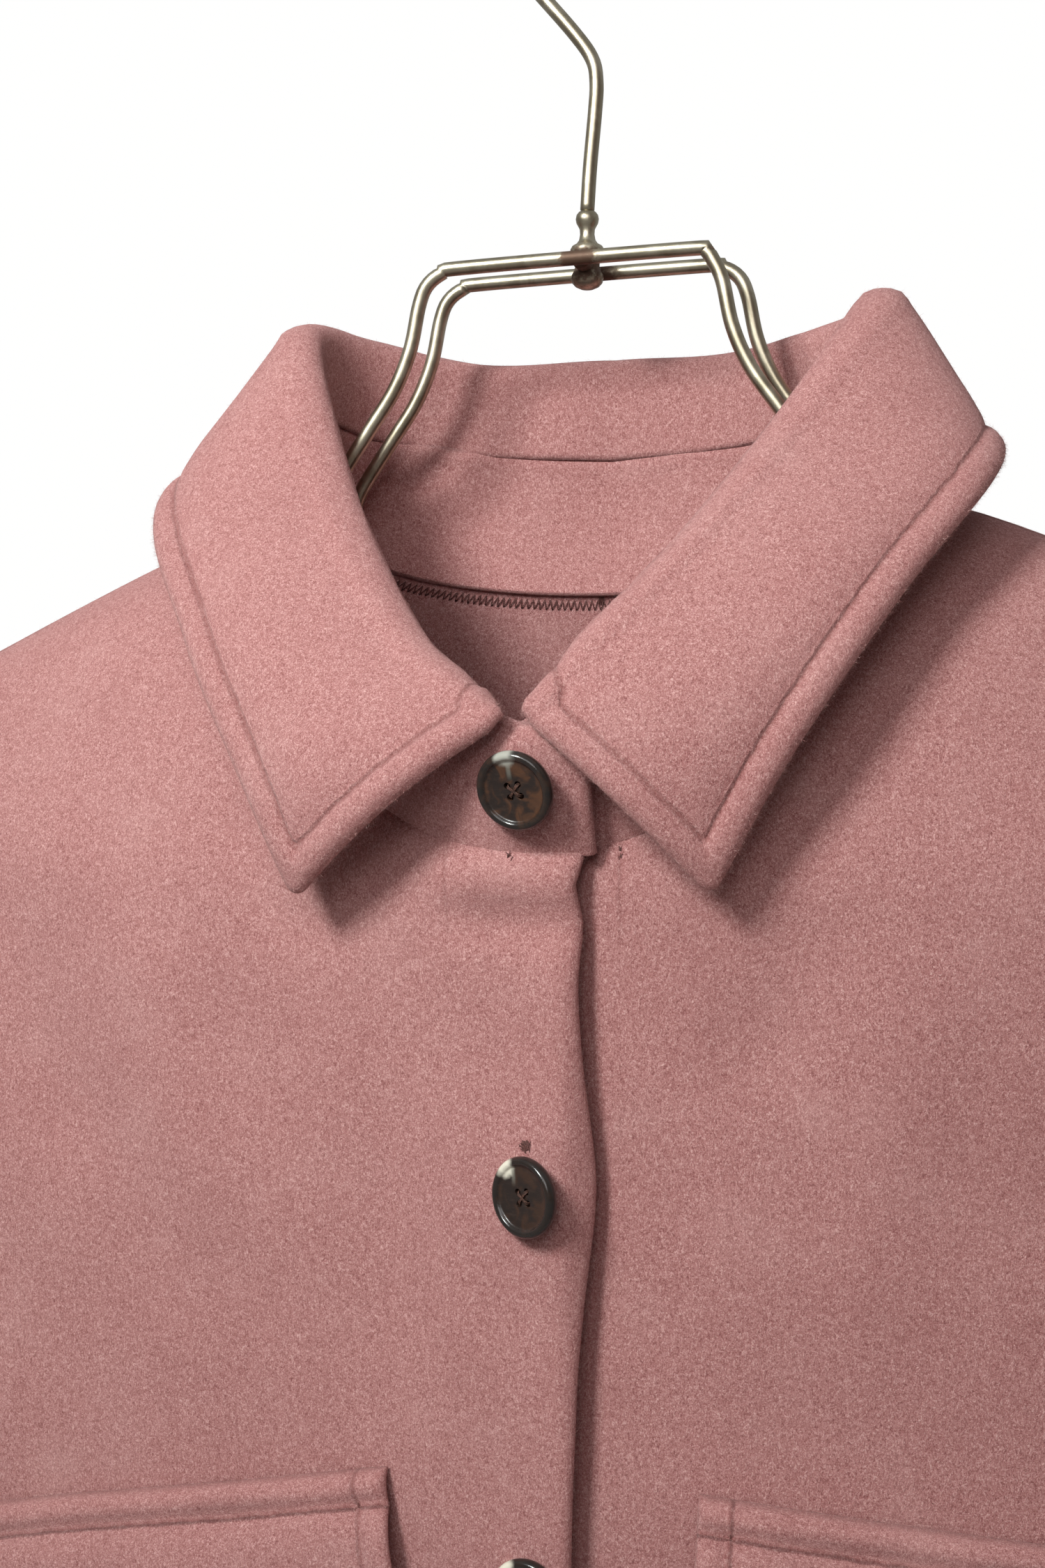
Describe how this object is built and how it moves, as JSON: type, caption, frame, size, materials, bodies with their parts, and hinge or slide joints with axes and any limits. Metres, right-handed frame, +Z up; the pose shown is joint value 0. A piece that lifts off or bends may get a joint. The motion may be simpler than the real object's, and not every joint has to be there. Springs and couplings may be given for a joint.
{
  "type": "shirt jacket on a wire hanger",
  "caption": "Long-sleeved collared shirt jacket in brushed wool, buttoned up the front, with flapped patch pockets, hanging on a double wire hanger.",
  "frame": {"origin": "inside top of the hanger's hook, where a rail or peg holds it", "axes": "+Z up, the jacket's front faces -Y, +X towards the wearer's left sleeve"},
  "size_m": [0.728, 0.144, 0.8661],
  "materials": {
    "front_right_wool": "brushed wool cloth",
    "front_left_wool": "brushed wool cloth",
    "back_wool": "brushed wool cloth",
    "collar_stand_wool": "brushed wool cloth",
    "collar_wool": "brushed wool cloth",
    "sleeve_right_wool": "brushed wool cloth",
    "sleeve_left_wool": "brushed wool cloth",
    "cuff_right_wool": "brushed wool cloth",
    "cuff_left_wool": "brushed wool cloth",
    "pocket_right_wool": "brushed wool cloth",
    "pocket_left_wool": "brushed wool cloth",
    "flap_right_wool": "brushed wool cloth",
    "flap_left_wool": "brushed wool cloth",
    "button_1_horn": "polished dark horn",
    "button_2_horn": "polished dark horn",
    "button_3_horn": "polished dark horn",
    "button_4_horn": "polished dark horn",
    "button_5_horn": "polished dark horn",
    "button_6_horn": "polished dark horn",
    "cuff_button_right_horn": "polished dark horn",
    "cuff_button_left_horn": "polished dark horn",
    "hanger_wire_front_brass": "aged satin",
    "hanger_wire_back_brass": "aged satin",
    "hanger_ferrule_brass": "aged satin",
    "hanger_bridge_front_brass": "aged satin",
    "hanger_bridge_back_brass": "aged satin",
    "hanger_hook_brass": "aged satin"
  },
  "bodies": {
    "root": {"front_right": "front_right_wool", "front_left": "front_left_wool", "back": "back_wool", "collar_stand": "collar_stand_wool", "collar": "collar_wool", "sleeve_right": "sleeve_right_wool", "sleeve_left": "sleeve_left_wool", "cuff_right": "cuff_right_wool", "cuff_left": "cuff_left_wool", "pocket_right": "pocket_right_wool", "pocket_left": "pocket_left_wool", "flap_right": "flap_right_wool", "flap_left": "flap_left_wool", "button_1": "button_1_horn", "button_2": "button_2_horn", "button_3": "button_3_horn", "button_4": "button_4_horn", "button_5": "button_5_horn", "button_6": "button_6_horn", "cuff_button_right": "cuff_button_right_horn", "cuff_button_left": "cuff_button_left_horn", "hanger_wire_front": "hanger_wire_front_brass", "hanger_wire_back": "hanger_wire_back_brass", "hanger_ferrule": "hanger_ferrule_brass", "hanger_bridge_front": "hanger_bridge_front_brass", "hanger_bridge_back": "hanger_bridge_back_brass", "hanger_hook": "hanger_hook_brass"}
  },
  "joints": []
}
